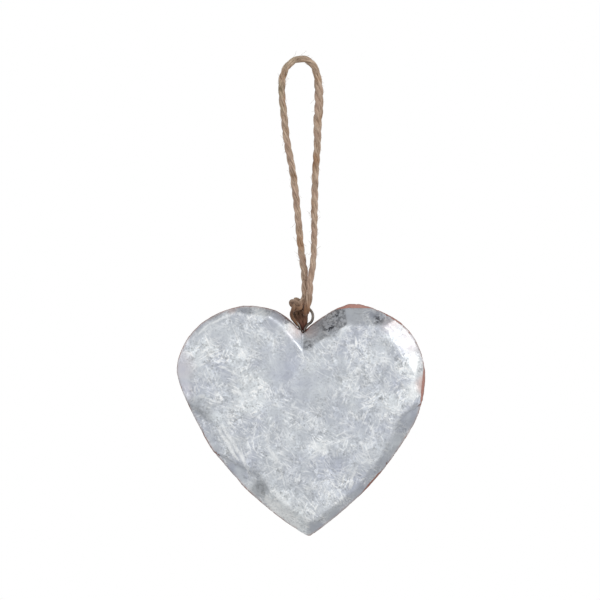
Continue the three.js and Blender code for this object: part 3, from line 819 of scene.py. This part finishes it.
SHADE_PAINTED_ENDS = 3  # the last strand hangs outside the eye and keeps the plain twine, without painted shade
END_SHRINK = [0.84, 0.84, 0.84, 0.55]
END_TAPER = 0.55  # share of its thickness that a strand loses at its tip

knot_route = []
for i in range(KNOT_CORNERS + 1):
    t = 2 * math.pi * (i / KNOT_CORNERS)
    across = (math.sin(t) + 2 * math.sin(2 * t)) / TREFOIL_REACH
    upward = (math.cos(t) - 2 * math.cos(2 * t)) / TREFOIL_REACH
    turned = KNOT_TURN @ Vector((across, -math.sin(3 * t), upward))
    knot_route.append(KNOT_PLACE + turned * KNOT_REACH)
knot_line = smooth_line(knot_route, RING_STEP)
knot_plies = ply_lines(knot_line, carried_frames(knot_line), lambda i: PLY_OFFSET * KNOT_SHRINK)
knot = lay_plies("jute_knot", knot_plies, 0, len(knot_line) - 1, lambda step: KNOT_SHRINK)
for piece, node in ((lead, "cord_lead"), (hitch, "cord_hitch"), (knot, "cord_knot")):
    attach(piece, "hitch")
    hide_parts(node)

shade_painted_jute, tree, output = new_material("shade_painted_jute_twine")
along = add(tree, "UVMap", {}).outputs[0]
# The same fibre as the cord, painted darker as shade where it hangs in the eye's opening, and dark
# red-brown at the bottom as painted shade with a painted reflection of the clay.
fibres = add(tree, "TexNoise", {
    "Vector": add(tree, "Mapping", {"Vector": along, "Scale": (1.8, 9, 1)}).outputs[0],
    "Scale": 1.0, "Detail": 5, "Roughness": 0.65, "Distortion": 0.4,
}).outputs["Fac"]
height = add(tree, "SeparateXYZ", {0: add(tree, "TexCoord", {}).outputs["Object"]}).outputs["Z"]
# Painted shade, turning redder towards the bottom as a painted reflection of the clay.
reddened_shade = add(tree, "MapRange", {"Value": height, 1: -107.5 * MM, 2: -114 * MM}).outputs[0]
shade_tone = add(tree, "Mix", {
    0: fibres, 6: linear("#6a5040"), 7: linear("#ab8971"),
}, data_type="RGBA").outputs[2]
red_shade_tone = add(tree, "Mix", {
    0: fibres, 6: linear("#47231e"), 7: linear("#7f4438"),
}, data_type="RGBA").outputs[2]
painted_shade_tone = add(tree, "Mix", {0: reddened_shade, 6: shade_tone, 7: red_shade_tone}, data_type="RGBA").outputs[2]
relief = add(tree, "Bump", {"Height": fibres, "Strength": 0.7, "Distance": 0.12 * MM}).outputs[0]
shader = add(tree, "BsdfPrincipled", {"Base Color": painted_shade_tone, "Roughness": 0.92, "Normal": relief})
tree.links.new(shader.outputs[0], output.inputs[0])
for number, route in enumerate(ENDS):
    line = smooth_line(in_metres(route), RING_STEP)
    last = len(line) - 1

    def taper(step):
        """Full above, thinning out over the last third."""
        return END_SHRINK[number] * (1 - END_TAPER * max(0.0, 3 * step / last - 2))

    lines = ply_lines(line, carried_frames(line), lambda i: PLY_OFFSET * taper(i))
    end = lay_plies(f"jute_end_{number + 1}", lines, 0, last, taper)
    if number < SHADE_PAINTED_ENDS:
        end.data.materials.clear()
        end.data.materials.append(shade_painted_jute)
    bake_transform(end)

# Loose fibres that stand off the twine, as on any jute. Real ones are a twentieth of a millimetre thick,
# and are drawn nearly twice that so that they show.
FIBRES = 240
FIBRE_RADIUS = 0.045 * MM
FIBRE_SIDES = 3
FIBRE_STEPS = 6
FIBRE_ROOT = 1.25 * MM  # of a fibre's foot from the cord's middle line
FIBRE_LENGTHS = (1.2, 3.6)  # shortest and longest, in millimetres
FIBRE_LIFTS = (0.25, 0.7)  # how far one stands off, as a share of its length
FIBRE_CURL = 0.3
FIBRE_CLEARANCE = 6  # steps kept free at each end of the loop
rng = random.Random(7)
cord_frames = carried_frames(cord_line)
bm = bmesh.new()
for _ in range(FIBRES):
    i = rng.randrange(left_throat + FIBRE_CLEARANCE, right_throat - FIBRE_CLEARANCE)
    across, other = cord_frames[i]
    turn = rng.uniform(0, 2 * math.pi)
    out = across * math.cos(turn) + other * math.sin(turn)
    step = (cord_line[i + 1] - cord_line[i - 1]).normalized() * rng.choice((-1, 1))
    reach = rng.uniform(*FIBRE_LENGTHS) * MM
    lift = rng.uniform(*FIBRE_LIFTS)
    root = cord_line[i] + out * FIBRE_ROOT
    curl = Vector((rng.uniform(-1, 1), rng.uniform(-1, 1), rng.uniform(-1, 1))) * FIBRE_CURL
    bends = [
        root + (step * share + out * lift * share * share + curl * share ** 3) * reach
        for share in (0, 0.35, 0.7, 1)
    ]
    hair = smooth_line(bends, reach / FIBRE_STEPS)
    sweep(bm, hair, carried_frames(hair), FIBRE_SIDES, lambda k, around: FIBRE_RADIUS, TWINE_UV)
bmesh.ops.recalc_face_normals(bm, faces=bm.faces)
fuzz = new_piece("jute_fibres", bm, jute)
for piece in (loop, fuzz):
    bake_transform(piece)
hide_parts("cord_loop")

# The studio: a pale floor well below the ornament, a white surround, a large soft lamp high on the right
# and a weaker one low on the left.
FRAME_WIDTH = 0.255  # of the picture
FRAME_DEPTH = -0.004  # the y at which the picture is that wide, near the middle of the heart's thickness
FRAME_CENTRE = Vector((-0.00066, 0, -0.1015))
LENS = 120
SENSOR = 36
SURROUND_LEVEL = 0.75  # of the light that the white surround gives
OVERHEAD_LEVEL = 0.62  # of the surround straight above, where the room is darker
FLOOR_GLOW = 0.42  # share of plain white in the floor as the silver mirrors it
FLOOR_WHITE = 0.85  # the same as the eye sees it
FLOOR_REACH = 1.2
FLOOR_HEIGHT = -0.5

world = bpy.data.worlds.new("white_surround")
bpy.context.scene.world = world
world.use_nodes = True
tree = world.node_tree
tree.nodes.clear()
ray = add(tree, "LightPath", {})
mirrored = add(tree, "Math", {
    0: ray.outputs["Is Glossy Ray"], 1: ray.outputs["Is Transmission Ray"],
}, operation="MAXIMUM").outputs[0]
height = add(tree, "SeparateXYZ", {0: add(tree, "TexCoord", {}).outputs["Generated"]}).outputs["Z"]
overhead = add(tree, "MapRange", {"Value": height, 1: 0.3, 2: 0.9, 3: 1.0, 4: OVERHEAD_LEVEL}).outputs[0]
level = add(tree, "MapRange", {"Value": mirrored, 3: SURROUND_LEVEL, 4: 1.0}).outputs[0]
level = add(tree, "Math", {0: level, 1: overhead}, operation="MULTIPLY").outputs[0]
level = add(tree, "Math", {0: level, 1: ray.outputs["Is Camera Ray"]}, operation="MAXIMUM").outputs[0]
surround = add(tree, "Background", {"Color": (1, 1, 1, 1), "Strength": level})
tree.links.new(surround.outputs[0], add(tree, "OutputWorld", {}).inputs[0])


def soft_lamp(name, place, aim, size, power, colour):
    """A round soft lamp turned towards its aim."""
    lamp = bpy.data.lights.new(name, "AREA")
    lamp.shape = "DISK"
    lamp.size = size
    lamp.energy = power
    lamp.color = linear(colour)[:3]
    holder = bpy.data.objects.new(name, lamp)
    holder.location = place
    holder.rotation_euler = (Vector(aim) - Vector(place)).to_track_quat("-Z", "Y").to_euler()
    bpy.context.scene.collection.objects.link(holder)


HEART_MIDDLE = (0, 0, -0.15)
soft_lamp("key_lamp", (0.62, -0.5, 0.365), HEART_MIDDLE, size=0.5, power=1.8, colour="#fffdf8")
soft_lamp("fill_lamp", (-0.72, -0.42, -0.28), HEART_MIDDLE, size=0.5, power=0.4, colour="#fcfdff")

floor_paint, tree, output = new_material("matt_white_floor")
# Matt white paint, which shows as a lit table does in the silver.
shader = add(tree, "BsdfPrincipled", {"Base Color": linear("#b8b8b6"), "Roughness": 0.9})
ray = add(tree, "LightPath", {})
seen = add(tree, "Math", {
    0: ray.outputs["Is Camera Ray"], 1: FLOOR_WHITE,
    2: add(tree, "MapRange", {"Value": ray.outputs["Is Glossy Ray"], 4: FLOOR_GLOW}).outputs[0],
}, operation="MULTIPLY_ADD").outputs[0]
glow = add(tree, "Emission", {"Color": (1, 1, 1, 1), "Strength": 1.0})
mixed = add(tree, "MixShader", {0: seen, 1: shader.outputs[0], 2: glow.outputs[0]})
tree.links.new(mixed.outputs[0], output.inputs[0])
bm = bmesh.new()
bmesh.ops.create_grid(bm, x_segments=8, y_segments=8, size=FLOOR_REACH)
bmesh.ops.translate(bm, verts=bm.verts, vec=(0, 0, FLOOR_HEIGHT))
floor = new_piece("floor", bm, floor_paint)

camera = bpy.data.cameras.new("camera")
camera.lens = LENS
camera.sensor_width = SENSOR
viewer = bpy.data.objects.new("camera", camera)
viewer.location = FRAME_CENTRE + Vector((0, FRAME_DEPTH - FRAME_WIDTH * LENS / SENSOR, 0))
viewer.rotation_euler = (math.pi / 2, 0, 0)
bpy.context.scene.collection.objects.link(viewer)
bpy.context.scene.camera = viewer
bpy.context.scene.view_settings.view_transform = "Standard"
